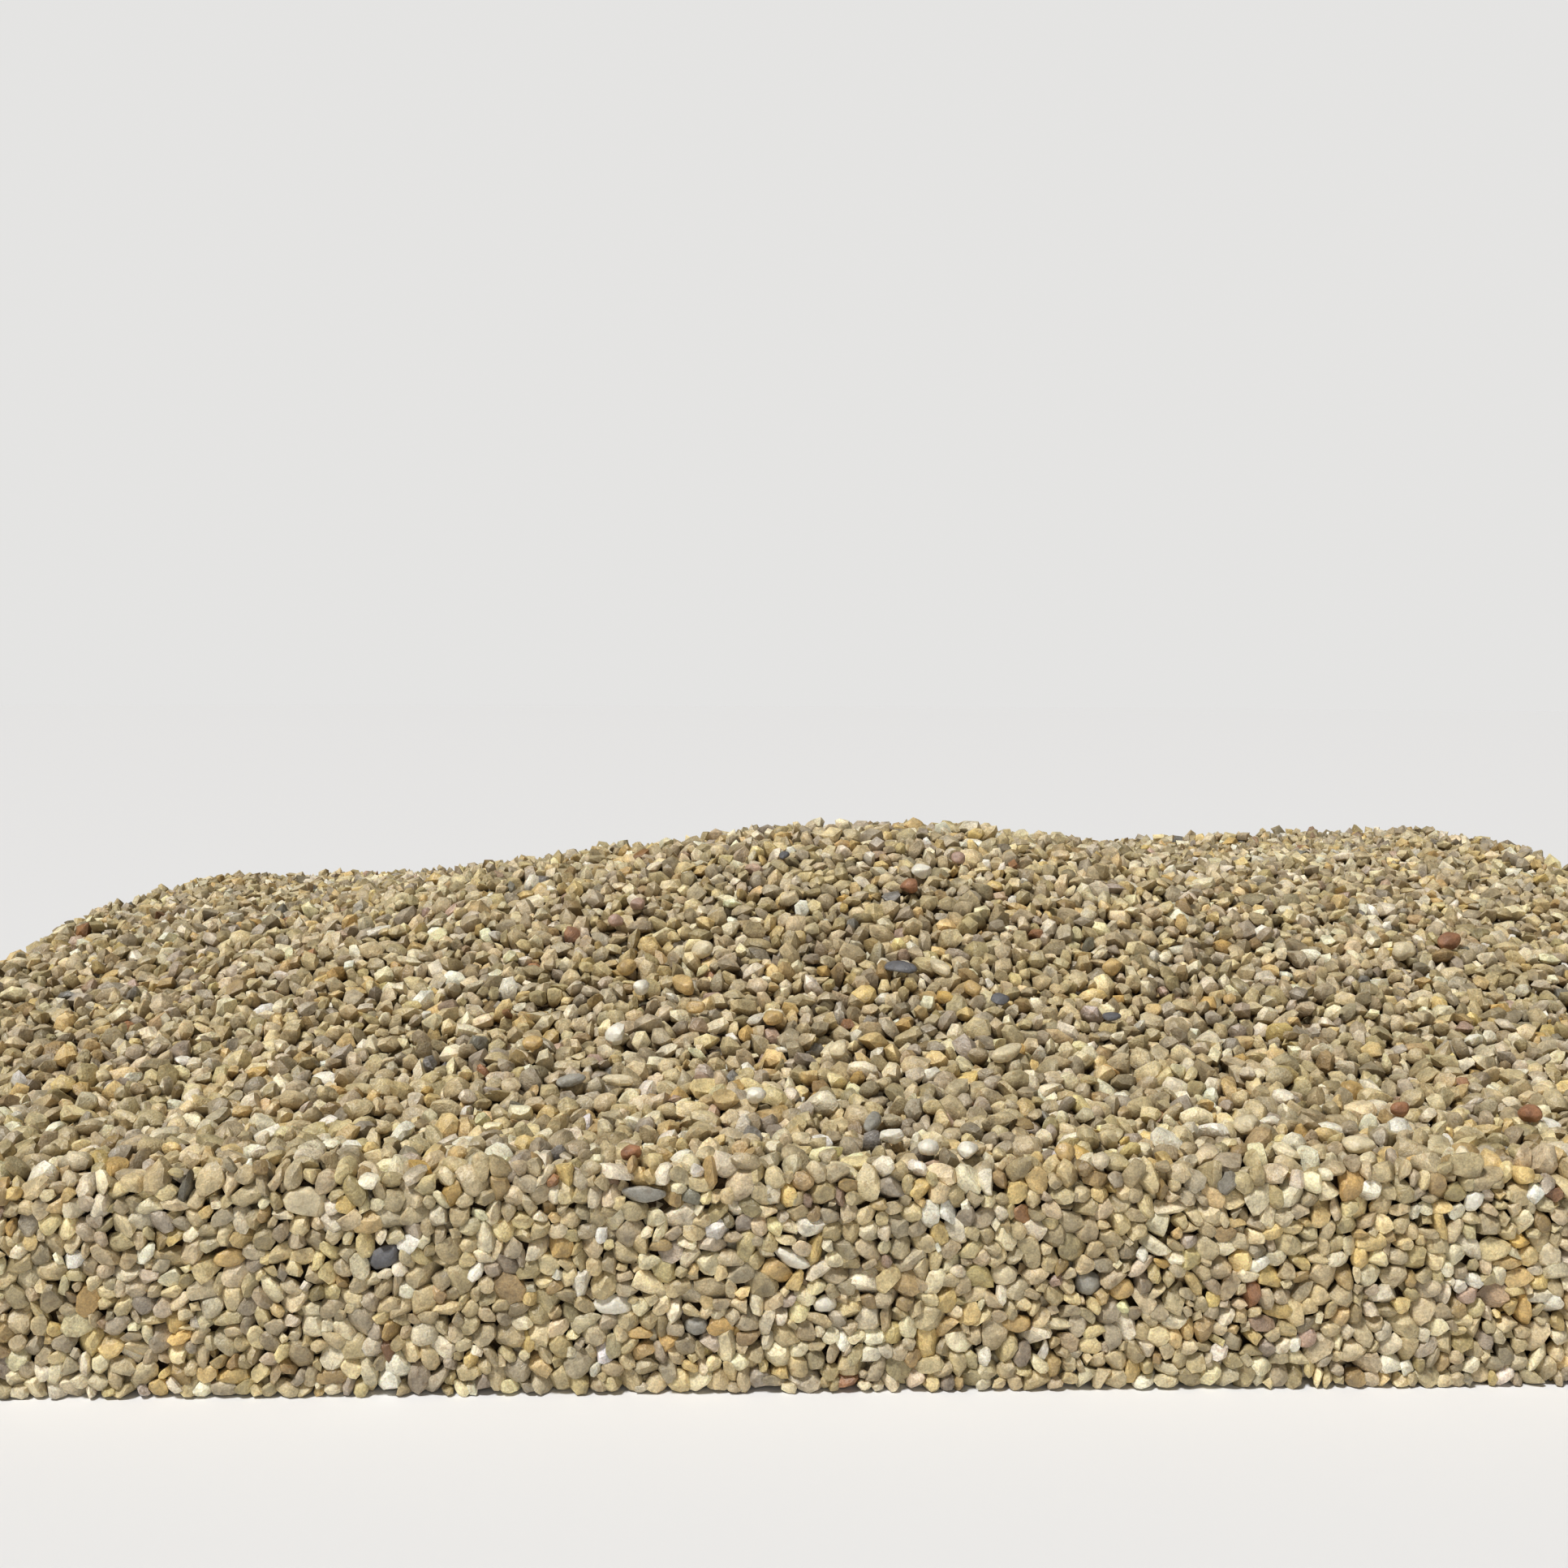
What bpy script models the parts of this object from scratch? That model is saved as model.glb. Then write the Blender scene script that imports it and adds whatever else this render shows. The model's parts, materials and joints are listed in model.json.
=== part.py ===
"""Aquarium gravel: a rectangular bed of mixed quartz grains, with the single stones that stand
out in it. Metres, +Z up, origin in the middle of the flat underside, +X to the right and +Y
towards the back."""

import math
import random

import bmesh
import bpy
from mathutils import Matrix, Vector
from mathutils.bvhtree import BVHTree

# The bed's outline: a rectangle with upright sides
BED_WIDTH = 0.440
BED_DEPTH = 0.290

# Heights of the surface: level along the front side, rising to the back side
FRONT_HEIGHT = 0.041
BACK_LEFT_HEIGHT = 0.059
BACK_RIGHT_HEIGHT = 0.078
RAMP_DEPTH = 0.230

# The mound in the middle, longer to the left than to the right
MOUND_RISE = 0.029
MOUND_X = 0.004
MOUND_Y = -0.003
MOUND_REACH_LEFT = 0.102
MOUND_REACH_RIGHT = 0.076
MOUND_REACH_DEPTH = 0.051

# The bed's solid is a lumpy skin of patches about two grains wide
PATCH = 0.010
PATCH_SHIFT = 0.0027
LUMP = 0.0018
WALL_RINGS = 5
WALL_HOLLOW = 0.0016
WALL_SHIFT = 0.0015
SEED = 41

# A single stone lies in a pocket of the bed, with this gap around it
POCKET_GAP = 0.0004
SUNK_SHARE = 0.42
TILT_DEGREES = 12
FRONT_CLEARANCE = 0.0002
FACETS = 8
FACET_DEPTHS = (0.58, 0.84)

MM = 0.001

# Thickness of a stone as a share of its width, by kind
THICKNESS = {
    "white": 0.85,
    "cream": 0.80,
    "amber": 0.85,
    "rust": 0.90,
    "rose": 0.90,
    "grey": 0.80,
    "slate": 0.55,
}

# Base colour and roughness of the bed and of each kind of stone
FINISHES = {
    "gravel": ((0.352, 0.275, 0.150), 0.55),
    "white": ((0.807, 0.759, 0.617), 0.45),
    "cream": ((0.700, 0.590, 0.365), 0.50),
    "amber": ((0.610, 0.352, 0.102), 0.45),
    "rust": ((0.305, 0.105, 0.040), 0.60),
    "rose": ((0.429, 0.235, 0.171), 0.55),
    "grey": ((0.305, 0.283, 0.242), 0.55),
    "slate": ((0.110, 0.120, 0.150), 0.60),
}

# Stones on the surface: name, kind, place across and front to back, length and width in
# millimetres, turn in degrees
TOP_STONES = [
    ("slate_chip", "slate", 8, -66, 9.0, 4.2, -25),
    ("curved_cream_stone", "cream", 17, -66, 7.0, 3.6, -50),
    ("long_cream_stone", "cream", 27, -98, 8.5, 3.4, 30),
    ("left_white_pebble", "white", 6, -137, 4.2, 3.8, 20),
    ("right_white_pebble", "white", 13, -137, 4.6, 4.0, 70),
    ("pale_oval_stone", "white", 0, -130, 5.0, 3.2, 20),
    ("slanting_grey_stone", "grey", -3, -123, 7.0, 3.2, 60),
    ("front_amber_pebble", "amber", 30, -141, 4.2, 3.8, 0),
    ("dark_grey_pebble", "slate", 29, -76, 4.6, 3.8, 10),
    ("small_slate_chip", "slate", 53, -80, 4.8, 3.0, 15),
    ("orange_pebble", "amber", 23, -73, 4.4, 3.4, -40),
    ("amber_wedge", "amber", 57, -60, 5.2, 4.2, 40),
    ("rust_pebble", "rust", 13, -34, 4.8, 4.4, 0),
    ("mauve_pebble", "rose", 27, -22, 4.2, 3.6, 25),
    ("upper_oval_stone", "white", 17, -27, 5.6, 4.0, -10),
    ("blue_grey_pebble", "slate", -17, -20, 4.6, 3.0, 80),
    ("white_diamond_stone", "white", -55, -84, 5.8, 4.4, 80),
    ("white_block", "white", -50, -71, 4.6, 3.8, 70),
    ("cream_triangle_stone", "cream", -37, -55, 6.0, 4.8, -20),
    ("round_white_pebble", "white", -25, -114, 4.6, 4.2, 30),
    ("left_amber_pebble", "amber", -72, -89, 4.8, 3.6, 0),
    ("lower_rose_pebble", "rose", -58, -42, 4.4, 3.6, 20),
    ("upper_rose_pebble", "rose", -53, -37, 3.8, 3.4, -20),
    ("honey_lump", "amber", -54, -60, 5.8, 4.2, 55),
    ("tall_honey_stone", "amber", -41, -68, 7.6, 4.4, -55),
    ("left_honey_block", "amber", -38, -78, 4.8, 3.4, 0),
    ("right_honey_block", "amber", -21, -81, 5.0, 3.6, 5),
    ("cream_block", "cream", -8, -94, 5.2, 4.2, 85),
    ("grey_bar", "grey", -62, -104, 6.6, 2.8, 5),
    ("cream_bar", "cream", -53, -102, 7.2, 2.8, -5),
    ("front_orange_pebble", "rust", -48, -139, 4.0, 3.2, 30),
    ("lumpy_cream_stone", "cream", 85, -137, 6.8, 4.4, 15),
    ("right_cream_stone", "cream", 69, -123, 5.6, 4.6, 0),
    ("right_brown_pebble", "rust", 100, -119, 4.4, 3.6, 45),
    ("far_brown_pebble", "rust", 126, -119, 5.0, 4.0, 0),
    ("far_beige_stone", "cream", 135, -38, 6.0, 5.4, 60),
    ("far_rust_stone", "rust", 150, -30, 7.4, 4.8, 20),
]

# Stones pressed flat into the front side: name, kind, place across and height, length and
# width in millimetres, turn in degrees
FRONT_STONES = [
    ("long_grey_front_stone", "grey", -45, 36, 9.2, 3.2, 0),
    ("white_slab", "white", -51, 16, 7.6, 3.8, 3),
    ("slanting_white_stone", "white", -19, 24, 7.8, 3.2, -22),
    ("flat_amber_stone", "amber", -46, 11, 5.2, 2.2, -5),
    ("white_front_block", "white", -13, 16, 4.6, 3.4, 0),
    ("grey_front_pebble", "grey", -36, 12, 4.8, 3.6, 0),
    ("slate_front_stone", "slate", -91, 25, 6.2, 4.2, 20),
    ("orange_front_stone", "amber", -118, 25, 6.4, 3.8, 5),
    ("beige_front_stone", "cream", -105, 35, 8.4, 5.4, -10),
    ("amber_front_stone", "amber", 21, 12, 5.8, 3.6, -5),
    ("round_orange_stone", "amber", 40, 18, 5.0, 4.2, 30),
    ("grey_round_stone", "grey", 34, 19, 5.0, 4.8, 0),
    ("beige_round_stone", "cream", 19, 21, 5.6, 4.2, 10),
    ("white_right_stone", "white", 103, 34, 4.4, 3.0, 60),
]


def clear_scene():
    for found in list(bpy.data.objects):
        bpy.data.objects.remove(found, do_unlink=True)


def new_collection(name):
    collection = bpy.data.collections.new(name)
    bpy.context.scene.collection.children.link(collection)
    return collection


def finish(kind):
    """The kind's material, made at its first use."""
    material = bpy.data.materials.get(kind)
    if material is None:
        colour, roughness = FINISHES[kind]
        material = bpy.data.materials.new(kind)
        material.use_nodes = True
        shader = material.node_tree.nodes["Principled BSDF"]
        shader.inputs["Base Color"].default_value = (*colour, 1.0)
        shader.inputs["Roughness"].default_value = roughness
        shader.inputs["Metallic"].default_value = 0.0
    return material


def add_object(name, shape, collection, material=None):
    mesh = bpy.data.meshes.new(name)
    shape.to_mesh(mesh)
    shape.free()
    if material is not None:
        mesh.materials.append(material)
    added = bpy.data.objects.new(name, mesh)
    collection.objects.link(added)
    return added


def surface_height(x, y):
    """Level of the grains' tips: a ramp up to the back, with the mound on it."""
    across = x / BED_WIDTH + 0.5
    back = BACK_LEFT_HEIGHT + (BACK_RIGHT_HEIGHT - BACK_LEFT_HEIGHT) * across
    along = min((y + BED_DEPTH / 2) / RAMP_DEPTH, 1.0)
    ramp = FRONT_HEIGHT + (back - FRONT_HEIGHT) * along * along * (3 - 2 * along)
    reach = MOUND_REACH_LEFT if x < MOUND_X else MOUND_REACH_RIGHT
    away = ((x - MOUND_X) / reach) ** 2 + ((y - MOUND_Y) / MOUND_REACH_DEPTH) ** 2
    return ramp + MOUND_RISE * math.exp(-away / 2)


def surface_normal(x, y):
    step = PATCH / 2
    along_x = surface_height(x + step, y) - surface_height(x - step, y)
    along_y = surface_height(x, y + step) - surface_height(x, y - step)
    return Vector((-along_x / (2 * step), -along_y / (2 * step), 1.0)).normalized()


def push_in(place, depth):
    """Sets a wall's vertex back from its side of the bed, and from both sides in a corner."""
    for axis, half in ((0, BED_WIDTH / 2), (1, BED_DEPTH / 2)):
        if abs(place[axis]) > half - PATCH / 2:
            place[axis] = math.copysign(half - depth, place[axis])


def slide_along(place, distance):
    """Moves a wall's vertex along its side, and leaves a corner where it is."""
    at_side = abs(place.x) > BED_WIDTH / 2 - PATCH / 2
    at_end = abs(place.y) > BED_DEPTH / 2 - PATCH / 2
    if at_side and not at_end:
        place.y += distance
    if at_end and not at_side:
        place.x += distance


def lumpy_top(shape, chance):
    """The surface: a grid shaken out of line, raised to the gravel's level in uneven lumps."""
    columns = round(BED_WIDTH / PATCH)
    rows = round(BED_DEPTH / PATCH)
    bmesh.ops.create_grid(shape, x_segments=columns, y_segments=rows, size=0.5)
    bmesh.ops.scale(shape, vec=(BED_WIDTH, BED_DEPTH, 1.0), verts=shape.verts)
    for vertex in shape.verts:
        place = vertex.co
        if vertex.is_boundary:
            push_in(place, chance.uniform(0.0, WALL_HOLLOW))
        else:
            place.x += chance.uniform(-PATCH_SHIFT, PATCH_SHIFT)
            place.y += chance.uniform(-PATCH_SHIFT, PATCH_SHIFT)
        place.z = surface_height(place.x, place.y) + chance.uniform(-LUMP, LUMP)


def hollowed_walls(shape, chance):
    """Rings down to the floor, each vertex pushed in by chance and the last ring true."""
    rim = [edge for edge in shape.edges if edge.is_boundary]
    for ring in range(1, WALL_RINGS + 1):
        made = bmesh.ops.extrude_edge_only(shape, edges=rim)["geom"]
        rim = [item for item in made if isinstance(item, bmesh.types.BMEdge)]
        last = ring == WALL_RINGS
        for vertex in [item for item in made if isinstance(item, bmesh.types.BMVert)]:
            place = vertex.co
            push_in(place, 0.0 if last else chance.uniform(0.0, WALL_HOLLOW))
            place.z = surface_height(place.x, place.y) * (1 - ring / WALL_RINGS)
            if not last:
                slide_along(place, chance.uniform(-WALL_SHIFT, WALL_SHIFT))
                place.z += chance.uniform(-WALL_SHIFT, WALL_SHIFT)
    return rim


def gravel_bed(collection):
    """The bed as one solid: the lumpy top, the upright walls, the flat underside."""
    chance = random.Random(SEED)
    shape = bmesh.new()
    lumpy_top(shape, chance)
    floor_rim = hollowed_walls(shape, chance)
    bmesh.ops.triangulate(shape, faces=shape.faces, quad_method="SHORT_EDGE")
    bmesh.ops.edgeloop_fill(shape, edges=floor_rim)
    bmesh.ops.recalc_face_normals(shape, faces=shape.faces)
    return add_object("gravel_bed", shape, collection, finish("gravel"))


def random_direction(chance):
    height = chance.uniform(-1.0, 1.0)
    angle = chance.uniform(0.0, 2 * math.pi)
    ring = math.sqrt(1 - height * height)
    return Vector((ring * math.cos(angle), ring * math.sin(angle), height))


def stone_points(name, halves):
    """A worn cube's points, ground flat on some sides and brought to the stone's size."""
    chance = random.Random(name)
    shape = bmesh.new()
    bmesh.ops.create_cube(shape, size=2.0)
    bmesh.ops.subdivide_edges(shape, edges=shape.edges, cuts=1, use_grid_fill=True)
    points = [vertex.co.normalized() for vertex in shape.verts]
    shape.free()
    for _ in range(FACETS):
        facing = random_direction(chance)
        depth = chance.uniform(*FACET_DEPTHS)
        points = [point - facing * max(point.dot(facing) - depth, 0.0) for point in points]
    for axis, half in enumerate(halves):
        low = min(point[axis] for point in points)
        high = max(point[axis] for point in points)
        for point in points:
            point[axis] = half * (2 * (point[axis] - low) / (high - low) - 1)
    return points


def stone_shape(points, halves, gap=0.0):
    """The convex solid around the points, grown by the gap where it is to cut a pocket."""
    shape = bmesh.new()
    for point in points:
        grown = [value * (half + gap) / half for value, half in zip(point, halves)]
        shape.verts.new(grown)
    hull = bmesh.ops.convex_hull(shape, input=shape.verts)
    loose = [item for item in hull["geom_interior"] if isinstance(item, bmesh.types.BMVert)]
    bmesh.ops.delete(shape, geom=loose, context="VERTS")
    bmesh.ops.recalc_face_normals(shape, faces=shape.faces)
    return shape


def add_stone(name, kind, halves, points, placing, bed, parts, cutters):
    """A stone in its place on the bed, and the cutter of its pocket."""
    stone = add_object(name, stone_shape(points, halves), parts, finish(kind))
    cutter = add_object(f"{name}_pocket", stone_shape(points, halves, POCKET_GAP), cutters)
    cutter.hide_render = True
    cutter.display_type = "WIRE"
    for piece in (stone, cutter):
        piece.location = placing.to_translation()
        piece.rotation_euler = placing.to_euler()
    stone.parent = bed


def half_sizes(kind, length, width):
    return (length / 2, width / 2, width * THICKNESS[kind] / 2)


def place_on_top(bed_tree, name, x, y, turn, thickness):
    """Flat on the slope at x and y, turned, tilted a little by chance, and partly sunk."""
    chance = random.Random(name + "_tilt")
    tilt = math.radians(chance.uniform(-TILT_DEGREES, TILT_DEGREES))
    foot = bed_tree.ray_cast(Vector((x, y, 1.0)), Vector((0.0, 0.0, -1.0)))[0]
    up = surface_normal(x, y)
    right = Vector((up.z, 0.0, -up.x)).normalized()
    slope = Matrix((right, up.cross(right), up)).transposed().to_4x4()
    turned = Matrix.Rotation(math.radians(turn), 4, "Z")
    tilted = Matrix.Rotation(tilt, 4, "Y")
    centre = foot + up * thickness * (0.5 - SUNK_SHARE)
    return Matrix.Translation(centre) @ slope @ turned @ tilted


def place_in_front(points, x, z, turn):
    """Upright, with its thin way front to back, and just behind the bed's front side."""
    upright = Matrix.Rotation(math.radians(90), 4, "X")
    turned = upright @ Matrix.Rotation(math.radians(turn), 4, "Z")
    reach = min((turned @ point).y for point in points)
    centre = Vector((x, FRONT_CLEARANCE - BED_DEPTH / 2 - reach, z))
    return Matrix.Translation(centre) @ turned


def cut_pockets(bed, cutters):
    cut = bed.modifiers.new("pockets", "BOOLEAN")
    cut.operation = "DIFFERENCE"
    cut.operand_type = "COLLECTION"
    cut.collection = cutters
    cut.solver = "EXACT"


def tree_of(piece):
    shape = bmesh.new()
    shape.from_mesh(piece.data)
    tree = BVHTree.FromBMesh(shape)
    shape.free()
    return tree


def build():
    clear_scene()
    parts = new_collection("aquarium_gravel")
    cutters = new_collection("pocket_cutters")
    bed = gravel_bed(parts)
    bed_tree = tree_of(bed)
    for name, kind, x, y, length, width, turn in TOP_STONES:
        halves = half_sizes(kind, length * MM, width * MM)
        points = stone_points(name, halves)
        placing = place_on_top(bed_tree, name, x * MM, y * MM, turn, 2 * halves[2])
        add_stone(name, kind, halves, points, placing, bed, parts, cutters)
    for name, kind, x, z, length, width, turn in FRONT_STONES:
        halves = half_sizes(kind, length * MM, width * MM)
        points = stone_points(name, halves)
        placing = place_in_front(points, x * MM, z * MM, turn)
        add_stone(name, kind, halves, points, placing, bed, parts, cutters)
    cut_pockets(bed, cutters)


build()
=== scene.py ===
"""A bed of aquarium gravel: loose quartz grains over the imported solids."""

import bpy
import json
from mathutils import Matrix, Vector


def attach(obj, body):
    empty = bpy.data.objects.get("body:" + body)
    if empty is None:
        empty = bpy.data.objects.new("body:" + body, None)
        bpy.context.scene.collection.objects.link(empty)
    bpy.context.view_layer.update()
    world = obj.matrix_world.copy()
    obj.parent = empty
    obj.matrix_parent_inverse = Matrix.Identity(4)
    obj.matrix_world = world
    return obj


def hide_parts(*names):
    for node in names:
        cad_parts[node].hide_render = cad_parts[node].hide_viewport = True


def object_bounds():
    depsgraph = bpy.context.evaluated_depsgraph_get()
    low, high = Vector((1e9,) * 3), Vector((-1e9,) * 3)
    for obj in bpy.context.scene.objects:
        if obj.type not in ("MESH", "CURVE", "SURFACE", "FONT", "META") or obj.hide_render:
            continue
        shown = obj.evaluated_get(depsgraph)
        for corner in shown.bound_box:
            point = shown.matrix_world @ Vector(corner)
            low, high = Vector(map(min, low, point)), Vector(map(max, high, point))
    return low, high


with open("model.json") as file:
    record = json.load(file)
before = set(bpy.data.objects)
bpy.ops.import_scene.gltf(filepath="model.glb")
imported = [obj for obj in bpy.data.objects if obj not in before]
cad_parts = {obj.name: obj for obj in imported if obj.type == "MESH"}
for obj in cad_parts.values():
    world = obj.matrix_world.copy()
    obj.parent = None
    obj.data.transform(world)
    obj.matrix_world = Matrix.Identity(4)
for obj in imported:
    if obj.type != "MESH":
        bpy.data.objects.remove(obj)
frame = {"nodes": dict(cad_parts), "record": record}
CAD_BOX = [list(corner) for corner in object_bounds()]

import json
import math

import bmesh
import bpy
import numpy as np
from bpy.props import FloatProperty, FloatVectorProperty, IntProperty, PointerProperty
from bpy.types import Operator, Panel, PropertyGroup
from mathutils import Matrix, Vector, noise
from mathutils.bvhtree import BVHTree

bl_info = {
    "name": "Aquarium gravel bed",
    "version": (1, 0, 0),
    "blender": (4, 5, 0),
    "location": "3D View > Sidebar > Gravel",
    "description": "Loose quartz grains heaped into a gravel bed, with its studio",
    "category": "Add Mesh",
}

BED = "gravel_bed"
MM = 1000
LOW = np.array(CAD_BOX[0]) * MM
HIGH = np.array(CAD_BOX[1]) * MM

# Where a grain lies
TOP, SIDE, UNDER, NOWHERE, SINGLE = 0, 1, 2, 3, 9

# The layers that grains fill, in millimetres
JITTER = 0.45  # how far a grain starts from its place in the grid
TOP_GAP = 1.2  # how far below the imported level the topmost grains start
FLOOR_LAYER = 4.0  # height of the layer on the floor
PRESSED = 4.0  # a single stone nearer to the front than this is pressed against it

# The grains, in millimetres or as shares of their width
WIDTHS = (1.8, 4.9)
WIDTH_SPREAD = 0.23
HALF_LENGTH = 3.2
THICKNESS = (0.62, 0.95)
UNEVEN = (-1.5, 0.8)  # how far a grain on top stays below the level, or stands over it

# Settling
WALL_GAP = 0.06
PAIR_SLACK = 0.6
PULL = 0.12
EASED = 0.4  # share of the steps at the end in which the pull fades out

# How much of a grain shows, in square millimetres, for it to be kept or to get more faces
KEPT_TOP, KEPT_SIDE, KEPT_UNDER = 1.5, 2.4, 5.0
FINE, FINE_SIDE, FINEST = 3.8, 8.5, 4.8

# Distances along Y, in millimetres: from the front side, and from the bed's middle
FRONT_SIDE, FINEST_BAND = 15, 50
MIDDLE, BACK = -70, 20
SHARP = 30  # degrees between two faces that make a sharp edge

# Painted shade of the grains, from the middle of the bed's top to its rims and sides: how dark the corners
# that face into the bed are painted
PAINTED_SHELTER = (0.42, -0.02)
PAINTED_CONTRAST = (2.2, 1.25)
RIM = 7.0

# Directions, towards the viewer, from which a grain has to show to be kept
FRONT_LOOKS = [(0, -1, 0.25), (0, -1, 0.8), (-0.6, -1, 0.35), (0.6, -1, 0.35), (0, -1, 0)]
OTHER_LOOKS = [
    (0, 0, 1), (0, 1, 0.4), (1, 0, 0.4), (-1, 0, 0.4), (0, 1, 0), (1, 0, 0), (-1, 0, 0), (0, 0, -1),
]

# Colours of the grains by kind: share, colour, spread in lightness
QUARTZ = [
    (0.30, (0.51, 0.412, 0.238), 0.19),
    (0.26, (0.61, 0.498, 0.29), 0.16),
    (0.12, (0.45, 0.375, 0.255), 0.18),
    (0.15, (0.78, 0.68, 0.465), 0.09),
    (0.06, (0.67, 0.50, 0.23), 0.12),
    (0.03, (0.86, 0.80, 0.64), 0.03),
    (0.04, (0.40, 0.285, 0.135), 0.17),
    (0.011, (0.58, 0.39, 0.15), 0.14),
    (0.004, (0.35, 0.185, 0.09), 0.15),
    (0.007, (0.46, 0.325, 0.225), 0.12),
    (0.005, (0.23, 0.21, 0.17), 0.15),
]

# Finish of the single stones by material slot: colour, roughness, how mottled
STONE_FINISHES = {
    "white_quartz": ((0.83, 0.78, 0.65), 0.42, 0.5),
    "cream_quartz": ((0.68, 0.58, 0.38), 0.46, 0.7),
    "amber_quartz": ((0.60, 0.42, 0.18), 0.42, 0.9),
    "rust_stone": ((0.33, 0.16, 0.08), 0.58, 1.0),
    "rose_stone": ((0.42, 0.28, 0.21), 0.52, 0.8),
    "grey_stone": ((0.33, 0.31, 0.26), 0.52, 0.8),
    "slate": ((0.125, 0.122, 0.124), 0.56, 0.7),
}

# What is worked out once and used by more than one piece
made = {}


class GravelGrains(PropertyGroup):
    """Sizes of the loose grains"""
    seed: IntProperty(name="Seed", description="Number that every scatter starts from", default=7, min=0)
    width: FloatProperty(name="Grain width", description="Usual width of a grain",
                         default=0.0032, min=0.002, max=0.006, unit="LENGTH")
    spacing: FloatProperty(name="Spacing", description="Distance between grains before they settle",
                           default=0.00304, min=0.0025, max=0.006, unit="LENGTH")
    depth: FloatProperty(name="Loose depth", description="Depth of the layer of loose grains on top",
                         default=0.008, min=0.004, max=0.02, unit="LENGTH")
    side_depth: FloatProperty(name="Side depth", description="Depth of the layer of grains at the sides",
                              default=0.0065, min=0.004, max=0.02, unit="LENGTH")
    steps: IntProperty(name="Settling steps", description="How often the grains are pushed apart",
                       default=60, min=1, max=400)
    fullness: FloatProperty(name="Fullness", description="Size of a grain against the room it settled in",
                            default=1.08, min=0.8, max=1.3, subtype="FACTOR")


class GravelColours(PropertyGroup):
    """Colours that are the same for many grains"""
    stain: FloatVectorProperty(name="Stain", description="Iron stain that mottles the quartz",
                               default=(0.42, 0.25, 0.09), min=0, max=1, subtype="COLOR")
    # Painted shade: the dark colour of the heap under the loose grains stands for deep grains in shadow
    deep_painted_shade: FloatVectorProperty(name="Deep grains", description="Colour of the grains deep in the gaps",
                               default=(0.12, 0.075, 0.03), min=0, max=1, subtype="COLOR")
    mottling: FloatProperty(name="Mottling", description="How uneven the colour of a grain is",
                            default=1.0, min=0, max=2, subtype="FACTOR")
    # Painted shade: the share of a grain's tint left on its corners that face the gaps, where shadow falls
    gaps: FloatVectorProperty(name="Gaps", description="How much darker grains are towards the gaps",
                              default=(0.17, 0.1, 0.015), min=0, max=1, subtype="COLOR")


class GravelStudio(PropertyGroup):
    """Floor, light and camera"""
    floor: FloatVectorProperty(name="Floor", description="Colour of the floor",
                               default=(0.799, 0.794, 0.789), min=0, max=1, subtype="COLOR")
    key: FloatProperty(name="Key light", description="Strength of the soft light from above",
                       default=3.25, min=0)
    fill: FloatProperty(name="Fill light", description="Strength of the soft light from the front",
                        default=0.45, min=0)
    sky: FloatProperty(name="Surroundings", description="Strength of the light from all round",
                       default=0.08, min=0)
    backdrop: FloatVectorProperty(name="Backdrop", description="Colour behind the floor",
                                  default=(0.78, 0.775, 0.765), min=0, max=1, subtype="COLOR")


def bed_height():
    """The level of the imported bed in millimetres, as a function of x and y."""
    if "height" in made:
        return made["height"]
    margin = 1.5
    corners, faces = [], []
    for node in frame["nodes"].values():
        start = len(corners)
        corners += [v.co.copy() for v in node.data.vertices]
        faces += [[start + i for i in face.vertices] for face in node.data.polygons]
    tree = BVHTree.FromPolygons(corners, faces)
    across = np.linspace(LOW[0] + margin, HIGH[0] - margin, 103)
    along = np.linspace(LOW[1] + margin, HIGH[1] - margin, 69)
    level = np.zeros((len(across), len(along)))
    for i, x in enumerate(across):
        for j, y in enumerate(along):
            hit = tree.ray_cast(Vector((x / MM, y / MM, 0.3)), Vector((0, 0, -1)))[0]
            level[i, j] = hit.z * MM if hit else 0
    for _ in range(2):
        padded = np.pad(level, 1, mode="edge")
        level = sum(padded[i:i + level.shape[0], j:j + level.shape[1]] * (2 - abs(i - 1)) * (2 - abs(j - 1))
                    for i in range(3) for j in range(3)) / 16
    step = np.array([across[1] - across[0], along[1] - along[0]])

    def height(x, y):
        u = np.clip((np.asarray(x) - across[0]) / step[0], 0, len(across) - 1.001)
        v = np.clip((np.asarray(y) - along[0]) / step[1], 0, len(along) - 1.001)
        i, j = u.astype(int), v.astype(int)
        u, v = u - i, v - j
        return ((level[i, j] * (1 - u) + level[i + 1, j] * u) * (1 - v)
                + (level[i, j + 1] * (1 - u) + level[i + 1, j + 1] * u) * v)
    made["height"] = height
    return height


def random_turns(chance, count):
    """Random rotation matrices."""
    q = chance.normal(size=(count, 4))
    q /= np.linalg.norm(q, axis=1)[:, None]
    w, x, y, z = q.T
    return np.stack([
        np.stack([1 - 2 * (y * y + z * z), 2 * (x * y - z * w), 2 * (x * z + y * w)], -1),
        np.stack([2 * (x * y + z * w), 1 - 2 * (x * x + z * z), 2 * (y * z - x * w)], -1),
        np.stack([2 * (x * z - y * w), 2 * (y * z + x * w), 1 - 2 * (x * x + y * y)], -1)], -2)


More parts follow.
